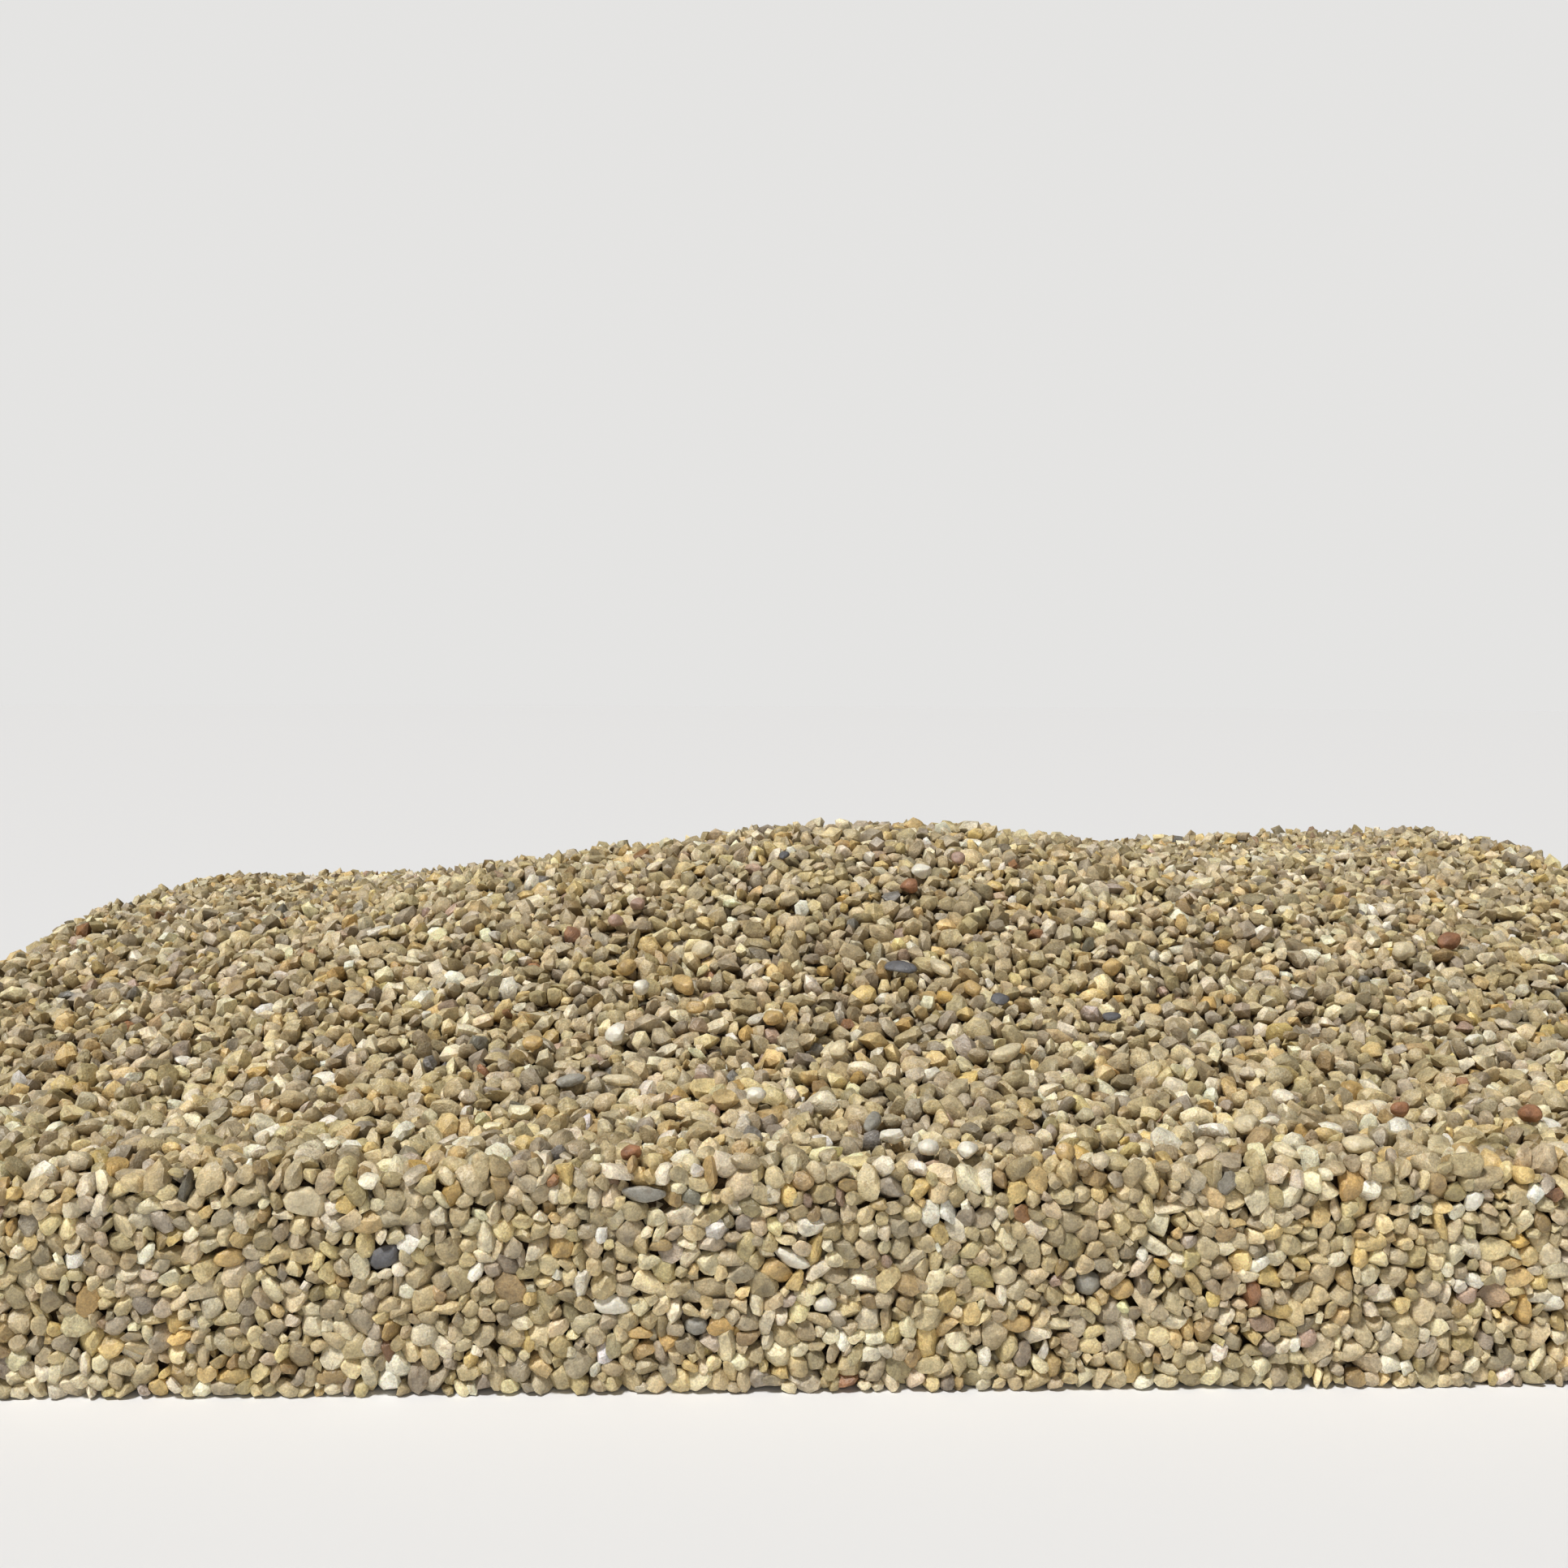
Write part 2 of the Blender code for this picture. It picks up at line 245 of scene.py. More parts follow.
def close_pairs(centre, reach, slack):
    """Pairs of grains near enough to touch, found in a grid of cells."""
    cell_size = 2 * reach.max() + slack
    cell = np.floor((centre - centre.min(0)) / cell_size).astype(np.int64) + 1
    size = cell.max(0) + 2
    key = (cell[:, 0] * size[1] + cell[:, 1]) * size[2] + cell[:, 2]
    order = np.argsort(key, kind="stable")
    key = key[order]
    starts = np.searchsorted(key, np.arange(size.prod() + 2))
    firsts, seconds = [], []
    here = np.arange(len(key))
    for across, along in ((0, 0), (0, 1), (1, -1), (1, 0), (1, 1)):
        base = np.clip(key + (across * size[1] + along) * size[2], 1, size.prod() - 1)
        begin, end = starts[base - 1], starts[base + 2]
        if across == 0 and along == 0:
            begin = here + 1
            end = np.maximum(end, begin)
        number = end - begin
        first = np.repeat(here, number)
        second = np.arange(number.sum()) - np.repeat(np.cumsum(number) - number, number)
        second += np.repeat(begin, number)
        gap = centre[order[first]] - centre[order[second]]
        near = (gap * gap).sum(1) < (reach[order[first]] + reach[order[second]] + slack) ** 2
        firsts.append(order[first[near]])
        seconds.append(order[second[near]])
    return np.concatenate(firsts), np.concatenate(seconds)


def form_of(turn, values):
    """The symmetric matrices turn . values . turn, as rows of xx yy zz xy xz yz."""
    full = np.einsum("nij,nj,nkj->nik", turn, values, turn)
    return np.stack([full[:, 0, 0], full[:, 1, 1], full[:, 2, 2],
                     full[:, 0, 1], full[:, 0, 2], full[:, 1, 2]], 1)


def along_way(form, way):
    """way . form . way for each row."""
    x, y, z = way.T
    return (form[:, 0] * x * x + form[:, 1] * y * y + form[:, 2] * z * z
            + 2 * (form[:, 3] * x * y + form[:, 4] * x * z + form[:, 5] * y * z))


def stone_forms():
    """Centre, half sizes and turn of each single stone, in millimetres."""
    centre, half, turn = [], [], []
    for name in single_stones():
        mesh = frame["nodes"][name].data
        points = np.array([v.co[:] for v in mesh.vertices]) * MM
        points = np.unique(np.round(points, 4), axis=0)
        axes = np.linalg.eigh(np.cov((points - points.mean(0)).T))[1][:, ::-1]
        if np.linalg.det(axes) < 0:
            axes[:, 2] *= -1
        own = points @ axes
        low, high = own.min(0), own.max(0)
        centre.append(axes @ ((low + high) / 2))
        half.append((high - low) / 2)
        turn.append(axes)
    return np.array(centre), np.array(half), np.array(turn)


def single_stones():
    """Names of the nodes that are one stone each."""
    return sorted(name for name in frame["nodes"] if name != BED)


def from_sides(at):
    """Distance from the nearer side along X and along Y."""
    return np.minimum(HIGH[:2] - at[:, :2], at[:, :2] - LOW[:2])


def starting_places(settings, chance, height, stones_at, stones_half):
    """Places in an uneven grid in the bed's outer layers, clear of the single stones, and their zones."""
    gap = settings.spacing * MM
    depth, side_depth = settings.depth * MM, settings.side_depth * MM
    axes = [np.arange(low + gap / 2, high, gap) for low, high in zip(LOW, HIGH)]
    at = np.stack(np.meshgrid(*axes, indexing="ij"), -1).reshape(-1, 3)
    at += chance.uniform(-JITTER, JITTER, at.shape)
    below = height(at[:, 0], at[:, 1]) - at[:, 2]
    top = (below > TOP_GAP) & (below < depth)
    beside = ~top & (below >= depth) & (from_sides(at).min(1) < side_depth)
    under = ~top & ~beside & (below >= depth) & (at[:, 2] < FLOOR_LAYER)
    zone = np.select([top, beside, under], [TOP, SIDE, UNDER], NOWHERE)
    for where, size in zip(stones_at, stones_half):
        apart = at - where
        over = (np.hypot(apart[:, 0], apart[:, 1]) < size[1]) & (apart[:, 2] > -size[2])
        if where[1] < LOW[1] + PRESSED:
            over = (np.hypot(apart[:, 0], apart[:, 2]) < size[1]) & (at[:, 1] < where[1] + size[2])
        zone[over] = NOWHERE
    used = zone != NOWHERE
    return at[used], zone[used]


def grain_sizes(settings, chance, count):
    """Half the length, width and thickness of each grain."""
    width = chance.lognormal(math.log(settings.width * MM), WIDTH_SPREAD, count)
    wide = np.clip(width, *WIDTHS) / 2
    length = np.minimum(wide * (1 + chance.beta(1.3, 2.6, count)), HALF_LENGTH)
    return np.stack([length, wide, wide * chance.uniform(*THICKNESS, count)], 1)


def pulls(at, zone):
    """The way each grain is pulled: down, or against the nearest side."""
    pull = np.zeros((len(at), 3))
    pull[zone != SIDE, 2] = -1
    beside = np.nonzero(zone == SIDE)[0]
    nearest = from_sides(at)[beside].argmin(1)
    pull[beside, nearest] = np.sign(at[beside, nearest])
    return pull


def settle(settings, height, at, half, turn, zone, pull, uneven):
    """Moves the grains until they rest. The single stones, last in the lists, stay in place."""
    count = len(pull)
    depth = settings.depth * MM
    held = np.arange(len(at)) >= count
    outer, inner = form_of(turn, half ** 2), form_of(turn, 1 / half ** 2)
    reach = half.max(1)
    stand = np.sqrt(outer[:, :3])
    low, high = LOW + WALL_GAP + stand, HIGH - WALL_GAP - stand
    on_top = np.nonzero(zone == TOP)[0]
    for step in range(settings.steps):
        if step % 8 == 0:
            a, b = close_pairs(at, reach, PAIR_SLACK)
        strength = PULL * min(1.0, (settings.steps - step) / (settings.steps * EASED))
        at[:count] += pull * strength
        gap = at[a] - at[b]
        far = np.sqrt((gap * gap).sum(1)) + 1e-6
        way = gap / far[:, None]
        need = sum(0.45 * np.sqrt(along_way(outer[i], way)) + 0.55 / np.sqrt(along_way(inner[i], way))
                   for i in (a, b))
        hit = need > far
        ai, bi, push, way = a[hit], b[hit], (need - far)[hit], way[hit]
        share_a = np.where(held[bi], 1.0, 0.5) * ~held[ai]
        share_b = np.where(held[ai], 1.0, 0.5) * ~held[bi]
        touching = np.bincount(ai, minlength=len(at)) + np.bincount(bi, minlength=len(at))
        for axis in range(3):
            moved = (np.bincount(ai, push * share_a * way[:, axis], len(at))
                     - np.bincount(bi, push * share_b * way[:, axis], len(at)))
            at[:, axis] += moved * 1.3 / np.maximum(touching, 2.2) ** 0.75
        if step % 4 == 0:
            level = height(at[on_top, 0], at[on_top, 1])
        at[on_top, 2] = np.clip(at[on_top, 2], level - depth - 0.5 + stand[on_top, 2],
                                level + uneven[on_top] - stand[on_top, 2])
        at[:count] = np.clip(at[:count], low[:count], high[:count])


def outward_ways(at, zone, pull):
    """How near each grain is to a side, from 0 to 1, and the way out of the bed from it, which set how the
    grain's shade is painted.
    """
    side = from_sides(at)
    nearest = side.argmin(1)
    edge = np.where(zone == TOP, np.clip(1.35 - side.min(1) / RIM, 0, 1), 1)
    out = np.where(zone[:, None] == TOP, -pull, pull)
    rim = np.nonzero((zone == TOP) & (edge > 0))[0]
    out[rim, nearest[rim]] = np.sign(at[rim, nearest[rim]]) * edge[rim]
    return edge, out / np.linalg.norm(out, axis=1)[:, None]


def settled_grains(settings):
    """Fills the outer layers of the bed with grains and pushes them apart until they rest."""
    if "grains" in made:
        return made["grains"]
    chance = np.random.default_rng(settings.seed)
    height = bed_height()
    stones_at, stones_half, stones_turn = stone_forms()
    stones = len(stones_at)
    at, zone = starting_places(settings, chance, height, stones_at, stones_half)
    count = len(at)
    half = grain_sizes(settings, chance, count)
    turn = random_turns(chance, count)
    pull = pulls(at, zone)
    uneven = chance.uniform(*UNEVEN, count)
    at = np.concatenate([at, stones_at])
    half = np.concatenate([half, stones_half])
    turn = np.concatenate([turn, stones_turn])
    settle(settings, height, at, half, turn, zone, pull, uneven)
    edge, out = outward_ways(at[:count], zone, pull)
    made["grains"] = {
        "at": at, "half": half, "turn": turn,
        "zone": np.concatenate([zone, np.full(stones, SINGLE)]),
        "edge": np.concatenate([edge, np.ones(stones)]),
        "out": np.concatenate([out, np.zeros((stones, 3))]),
    }
    mark_shown(made["grains"])
    return made["grains"]


def shown_area(at, half, turn, look, cell=0.5):
    """How many square millimetres of each grain show from one direction."""
    look = np.array(look, float)
    look /= np.linalg.norm(look)
    across = np.cross((0, 0, 1) if abs(look[2]) < 0.9 else (1, 0, 0), look)
    across /= np.linalg.norm(across)
    view = np.stack([across, np.cross(look, across), look])
    inner = np.einsum("ai,nij,nj,nkj,bk->nab", view, turn, 1 / half ** 2, turn, view, optimize=True)
    outer = np.einsum("ai,nij,nj,nkj,bk->nab", view, turn, half ** 2, turn, view, optimize=True)
    place = at @ view.T
    low = place[:, :2].min(0) - 6
    size = ((place[:, :2].max(0) + 6 - low) / cell).astype(int) + 2
    reach = np.sqrt(np.stack([outer[:, 0, 0], outer[:, 1, 1]], 1))
    first = np.floor((place[:, :2] - reach - low) / cell).astype(int)
    across_cells = int(np.ceil(2 * reach.max() / cell)) + 1
    grains, spots, depths = [], [], []
    for i in range(across_cells):
        p = (first[:, 0] + i + 0.5) * cell + low[0] - place[:, 0]
        inside = abs(p) < reach[:, 0]
        for j in range(across_cells):
            some = np.nonzero(inside)[0]
            q = (first[some, 1] + j + 0.5) * cell + low[1] - place[some, 1]
            a, ps = inner[some], p[some]
            slope = a[:, 0, 2] * ps + a[:, 1, 2] * q
            rest = a[:, 0, 0] * ps * ps + 2 * a[:, 0, 1] * ps * q + a[:, 1, 1] * q * q - 1
            room = slope * slope - a[:, 2, 2] * rest
            hit = room > 0
            one = some[hit]
            grains.append(one)
            spots.append((first[one, 0] + i) * size[1] + first[one, 1] + j)
            depths.append(place[one, 2] + (np.sqrt(room[hit]) - slope[hit]) / a[hit, 2, 2])
    grains, spots, depths = map(np.concatenate, (grains, spots, depths))
    nearest = np.full(size.prod(), -1e9)
    np.maximum.at(nearest, spots, depths)
    return np.bincount(grains[depths >= nearest[spots] - 1e-9], minlength=len(at)) * cell * cell


def mark_shown(grains):
    """Notes the largest area of each grain that shows from the front, and from any side."""
    front, others = ([shown_area(grains["at"], grains["half"], grains["turn"], look) for look in looks]
                     for looks in (FRONT_LOOKS, OTHER_LOOKS))
    grains["front"] = np.max(front, axis=0)
    grains["shown"] = np.max(front + others, axis=0)


def grain_shapes(cuts, count, seed):
    """Round forms with flat facets, as corner and face lists, with the bake map of each corner."""
    chance = np.random.default_rng(seed)
    shapes = []
    for _ in range(count):
        form = bmesh.new()
        bmesh.ops.create_uvsphere(form, u_segments=4, v_segments=2 if cuts else 3, radius=1)
        if cuts:
            bmesh.ops.subdivide_edges(form, edges=form.edges[:], cuts=cuts, use_grid_fill=True)
        bmesh.ops.triangulate(form, faces=form.faces[:])
        for vert in form.verts:
            vert.co.normalize()
        bmesh.ops.recalc_face_normals(form, faces=form.faces[:])
        form.verts.index_update()
        faces = np.array([[v.index for v in face.verts] for face in form.faces])
        ball = np.array([v.co[:] for v in form.verts])
        squares = np.array([octahedral(ball[face]) for face in faces])
        blocky = chance.uniform(0.62, 1.0)
        for vert in form.verts:
            vert.co = Vector([math.copysign(abs(c) ** blocky, c) for c in vert.co])
        deepest = chance.uniform(0.44, 0.68)
        for _ in range(chance.integers(6, 10)):
            normal = Vector(chance.normal(size=3)).normalized()
            depth = chance.uniform(deepest, 0.9)
            for vert in form.verts:
                over = vert.co.dot(normal) - depth
                if over > 0:
                    vert.co -= normal * over
        taper = chance.uniform(-0.25, 0.25, 2)
        for vert in form.verts:
            vert.co.y *= 1 + taper[0] * vert.co.x
            vert.co.z *= 1 + taper[1] * vert.co.x
        points = np.array([v.co[:] for v in form.verts])
        low, high = points.min(0), points.max(0)
        points = (points - (low + high) / 2) / ((high - low) / 2)
        form.free()
        shapes.append((points, faces, squares))
    return shapes


def octahedral(corners):
    """A face on the unit ball unfolded onto a square of -1 to 1."""
    flat = corners / np.abs(corners).sum(1)[:, None]
    signs = np.where(flat.mean(0)[:2] < 0, -1, 1)
    folded = (1 - np.abs(flat[:, 1::-1])) * signs
    return np.where(flat[:, 2:] < -1e-6, folded, flat[:, :2])


def painted_grain_light(outward, edge, open_share):
    """How light a corner of a grain is painted: painted shade towards the gaps, full on its outer side,
    lighter where more of the grain shows.
    """
    shelter, contrast = (first + (last - first) * edge for first, last in (PAINTED_SHELTER, PAINTED_CONTRAST))
    return np.clip((outward + 0.3 * open_share - shelter) * contrast, 0, 1)


def joined_grains(name, chosen, grains, tints, chances, fullness):
    """One mesh of the chosen grains, each with its own colour, painted shade towards the gaps, and its own
    cell of the bake map.
    """
    cells = math.ceil(math.sqrt(max(1, len(chosen))))
    points, faces, maps, colours, random = [], [], [], [], []
    start = 0
    level = made["detail"][chosen]
    # Grains that show more are painted lighter
    open_share = np.clip(grains["shown"] / (2.6 * grains["half"][:, 0] * grains["half"][:, 1]), 0, 1)
    gaps = np.array(bpy.context.scene.gravel_colours.gaps)
    order = np.arange(len(chosen))
    for cuts in sorted(set(level)):
        shapes = made["shapes"][cuts]
        kind = chosen % len(shapes)
        for number, (form, form_faces, squares) in enumerate(shapes):
            here = (level == cuts) & (kind == number)
            some, cell = chosen[here], order[here]
            if not len(some):
                continue
            scaled = form[None] * grains["half"][some][:, None] * fullness
            scaled = np.einsum("nij,npj->npi", grains["turn"][some], scaled)
            points.append((scaled + grains["at"][some][:, None]).reshape(-1, 3))
            # Painted shade: corners that face into the bed are darkened, as if in shadow; rim and side grains
            # less so
            outward = np.einsum("npi,ni->np", scaled, grains["out"][some])
            outward = outward / np.abs(outward).max(1, keepdims=True) * 0.5 + 0.5
            light = painted_grain_light(outward, grains["edge"][some, None], open_share[some, None])[..., None]
            colours.append((tints[some][:, None] * (gaps + (1 - gaps) * light)).reshape(-1, 3))
            offset = start + np.arange(len(some)) * len(form)
            faces.append((form_faces[None] + offset[:, None, None]).reshape(-1, 3))
            corner = np.stack([cell % cells, cell // cells], 1) + 0.5
            maps.append(((corner[:, None, None] + squares[None] * 0.46) / cells).reshape(-1, 2))
            random.append(np.repeat(chances[some], len(form)))
            start += len(some) * len(form)
    points = np.concatenate(points)
    points = np.clip(points, LOW + 0.02, HIGH - 0.02) / MM
    faces = np.concatenate(faces)
    mesh = bpy.data.meshes.new(name)
    mesh.vertices.add(len(points))
    mesh.vertices.foreach_set("co", points.astype(np.float32).ravel())
    mesh.loops.add(faces.size)
    mesh.loops.foreach_set("vertex_index", faces.astype(np.int32).ravel())
    mesh.polygons.add(len(faces))
    mesh.polygons.foreach_set("loop_start", np.arange(0, faces.size, 3, dtype=np.int32))
    mesh.update(calc_edges=True)
    mesh.polygons.foreach_set("use_smooth", np.ones(len(faces), dtype=bool))
    mesh.set_sharp_from_angle(angle=math.radians(SHARP))
    layer = mesh.uv_layers.new(name="OFBake")
    layer.uv.foreach_set("vector", np.concatenate(maps).astype(np.float32).ravel())
    # Each corner's colour: the grain's tint times its painted shade
    tint_and_painted_shade = mesh.attributes.new("tint_and_painted_shade", "FLOAT_COLOR", "POINT")
    colour = np.concatenate([np.concatenate(colours), np.ones((len(points), 1))], 1)
    tint_and_painted_shade.data.foreach_set("color", colour.astype(np.float32).ravel())
    luck = mesh.attributes.new("chance", "FLOAT", "POINT")
    luck.data.foreach_set("value", np.concatenate(random).astype(np.float32))
    mesh.update()
    piece = bpy.data.objects.new(name, mesh)
    bpy.context.scene.collection.objects.link(piece)
    mesh.materials.append(gravel_material(bpy.context.scene.gravel_colours))
    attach(piece, "root")
    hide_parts(BED)
    return piece


def prepare_grains(context):
    """Settles the grains once, and gives each its colour and its detail."""
    settings = context.scene.gravel_grains
    grains = settled_grains(settings)
    if "tints" in made:
        return grains
    chance = np.random.default_rng(settings.seed + 1)
    count = len(grains["at"])
    shares = np.array([row[0] for row in QUARTZ])
    kind = chance.choice(len(QUARTZ), count, p=shares / shares.sum())
    colour = np.array([row[1] for row in QUARTZ])[kind]
    spread = np.array([row[2] for row in QUARTZ])[kind]
    light = np.exp(chance.normal(0, 1, count) * spread)
    warm = 1 + chance.normal(0, 0.05, (count, 3)) * (0.3, 0.1, 1.3)
    made["tints"] = np.clip(colour * light[:, None] * warm, 0.02, 0.88)
    made["chances"] = chance.uniform(0, 1, count)
    back, zone = grains["at"][:, 1], grains["zone"]
    behind = back > LOW[1] + FRONT_SIDE
    detail = np.where(grains["shown"] > FINE, 1, 0)
    detail[(grains["front"] > FINEST) & (back < LOW[1] + FINEST_BAND)] = 2
    detail[(zone == TOP) & (back > BACK)] = 0
    detail[(zone == SIDE) & behind & (grains["shown"] < FINE_SIDE)] = 0
    detail[zone == UNDER] = 0
    made["detail"] = detail
    made["shapes"] = {0: grain_shapes(0, 12, 5), 1: grain_shapes(1, 32, 6), 2: grain_shapes(2, 32, 8)}
    least = np.select([zone == UNDER, (zone == SIDE) & behind], [KEPT_UNDER, KEPT_SIDE], KEPT_TOP)
    made["kept"] = (zone != SINGLE) & (grains["shown"] > least)
    return grains


def grain_piece(context, name, chosen):
    """The piece made of the chosen grains that show."""
    grains = prepare_grains(context)
    chosen = np.nonzero(chosen & made["kept"])[0]
    if not len(chosen):
        raise RuntimeError(f"{name} has no grains")
    return joined_grains(name, chosen, grains, made["tints"], made["chances"],
                         context.scene.gravel_grains.fullness)


def mottling_group():
    """Mottled quartz: a colour, a roughness and a height that change over the grain."""
    group = bpy.data.node_groups.get("Quartz mottling")
    if group:
        return group
    group = bpy.data.node_groups.new("Quartz mottling", "ShaderNodeTree")
    inputs = {"Colour": "Color", "Stain": "Color", "Amount": "Float", "Roughness": "Float", "Chance": "Float"}
    outputs = {"Colour": "Color", "Roughness": "Float", "Height": "Float"}
    for in_out, sockets in (("INPUT", inputs), ("OUTPUT", outputs)):
        for name, kind in sockets.items():
            group.interface.new_socket(name=name, in_out=in_out, socket_type="NodeSocket" + kind)
    nodes, links = group.nodes, group.links
    inside = nodes.new("NodeGroupInput")
    out = nodes.new("NodeGroupOutput")
    coord = nodes.new("ShaderNodeTexCoord")
    shift = nodes.new("ShaderNodeVectorMath")
    shift.operation = "MULTIPLY_ADD"
    shift.inputs[1].default_value = (0.7, 0.9, 1.1)
    links.new(inside.outputs["Chance"], shift.inputs[0])
    links.new(coord.outputs["Object"], shift.inputs[2])

    def noise_node(scale, detail, rough=0.55, distortion=0.0):
        node = nodes.new("ShaderNodeTexNoise")
        node.inputs["Scale"].default_value = scale
        node.inputs["Detail"].default_value = detail
        node.inputs["Roughness"].default_value = rough
        node.inputs["Distortion"].default_value = distortion
        links.new(shift.outputs[0], node.inputs["Vector"])
        return node

    def ranged(value, from_low, from_high, to_low, to_high):
        node = nodes.new("ShaderNodeMapRange")
        node.inputs["From Min"].default_value = from_low
        node.inputs["From Max"].default_value = from_high
        node.inputs["To Min"].default_value = to_low
        node.inputs["To Max"].default_value = to_high
        links.new(value, node.inputs["Value"])
        return node.outputs["Result"]

    def feed(entry, value):
        if isinstance(value, float):
            entry.default_value = value
        else:
            links.new(value, entry)

    def maths(operation, first, second):
        node = nodes.new("ShaderNodeMath")
        node.operation = operation
        feed(node.inputs[0], first)
        feed(node.inputs[1], second)
        return node.outputs["Value"]

    def mixed(fac, first, second, blend="MIX"):
        node = nodes.new("ShaderNodeMix")
        node.data_type = "RGBA"
        node.blend_type = blend
        feed(node.inputs["Factor"], fac)
        for entry, value in zip([entry for entry in node.inputs if entry.type == "RGBA"], (first, second)):
            feed(entry, value)
        return next(entry for entry in node.outputs if entry.type == "RGBA")

    broad = noise_node(330, 2.0)
    patch = noise_node(760, 3.0, 0.6, 0.6)
    fine = noise_node(2600, 2.0, 0.6)
    cloudy = ranged(broad.outputs["Fac"], 0.3, 0.7, 0.68, 1.3)
    speck = ranged(fine.outputs["Fac"], 0.3, 0.7, 0.78, 1.2)
    light = maths("MULTIPLY", cloudy, speck)
    uneven = maths("ADD", maths("MULTIPLY", maths("SUBTRACT", light, 1.0), inside.outputs["Amount"]), 1.0)
    tone = nodes.new("ShaderNodeCombineColor")
    for entry in tone.inputs:
        links.new(uneven, entry)
    colour = mixed(1.0, inside.outputs["Colour"], tone.outputs["Color"], "MULTIPLY")
    stain = maths("MULTIPLY", ranged(patch.outputs["Fac"], 0.54, 0.72, 0.0, 0.75), inside.outputs["Amount"])
    stained = mixed(stain, colour, inside.outputs["Stain"], "MULTIPLY")
    stained = mixed(0.55, colour, stained)
    links.new(stained, out.inputs["Colour"])
    rough = maths("MULTIPLY", ranged(patch.outputs["Fac"], 0.3, 0.7, 0.8, 1.25), inside.outputs["Roughness"])
    links.new(rough, out.inputs["Roughness"])
    height = maths("ADD", maths("MULTIPLY", patch.outputs["Fac"], 0.7),
                   maths("MULTIPLY", fine.outputs["Fac"], 0.3))
    links.new(height, out.inputs["Height"])
    return group


def stone_surface(material, roughness, relief=0.0005):
    """A Principled shader fed by the mottling, with its bump."""
    material.use_nodes = True
    nodes, links = material.node_tree.nodes, material.node_tree.links
    nodes.clear()
    out = nodes.new("ShaderNodeOutputMaterial")
    shader = nodes.new("ShaderNodeBsdfPrincipled")
    shader.inputs["IOR"].default_value = 1.5
    shader.inputs["Specular IOR Level"].default_value = 0.5
    shader.inputs["Subsurface Weight"].default_value = 0.3
    shader.inputs["Subsurface Radius"].default_value = (1.0, 0.75, 0.4)
    shader.inputs["Subsurface Scale"].default_value = 0.0009
    mottled = nodes.new("ShaderNodeGroup")
    mottled.node_tree = mottling_group()
    mottled.inputs["Roughness"].default_value = roughness
    bump = nodes.new("ShaderNodeBump")
    bump.inputs["Strength"].default_value = 0.9
    bump.inputs["Distance"].default_value = relief
    links.new(mottled.outputs["Height"], bump.inputs["Height"])
    links.new(mottled.outputs["Colour"], shader.inputs["Base Color"])
    links.new(mottled.outputs["Roughness"], shader.inputs["Roughness"])
    links.new(bump.outputs["Normal"], shader.inputs["Normal"])
    links.new(shader.outputs["BSDF"], out.inputs["Surface"])
    return mottled


def gravel_material(colours):
    """Loose grains, each with its own colour and its painted shade towards the gaps, read from a corner
    attribute.
    """
    material = bpy.data.materials.get("Loose gravel")
    if material:
        return material
    material = bpy.data.materials.new("Loose gravel")
    mottled = stone_surface(material, 0.4)
    nodes, links = material.node_tree.nodes, material.node_tree.links
    for name, entry, output in (("tint_and_painted_shade", "Colour", "Color"), ("chance", "Chance", "Fac")):
        attribute = nodes.new("ShaderNodeAttribute")
        attribute.attribute_name = name
        links.new(attribute.outputs[output], mottled.inputs[entry])
    mottled.inputs["Stain"].default_value = (*colours.stain, 1)
    mottled.inputs["Amount"].default_value = colours.mottling
    return material


def stone_material(slot, colours):
    """One kind of single stone."""
    name = "Stone " + slot.replace("_", " ")
    material = bpy.data.materials.get(name)
    if material:
        return material
    material = bpy.data.materials.new(name)
    colour, roughness, amount = STONE_FINISHES[slot]
    mottled = stone_surface(material, roughness, 0.0003)
    mottled.inputs["Colour"].default_value = (*colour, 1)
    mottled.inputs["Stain"].default_value = (*colours.stain, 1)
    mottled.inputs["Amount"].default_value = amount * colours.mottling
    mottled.inputs["Chance"].default_value = 0.37
    return material


def deep_painted_shade_material(colours):
    """Deep grains, seen only through the gaps, in a dark colour that is painted shade."""
    material = bpy.data.materials.new("Deep gravel")
    mottled = stone_surface(material, 0.7, 0.001)
    mottled.inputs["Colour"].default_value = (*colours.deep_painted_shade, 1)
    mottled.inputs["Stain"].default_value = (*colours.stain, 1)
    mottled.inputs["Amount"].default_value = 1.4
    return material


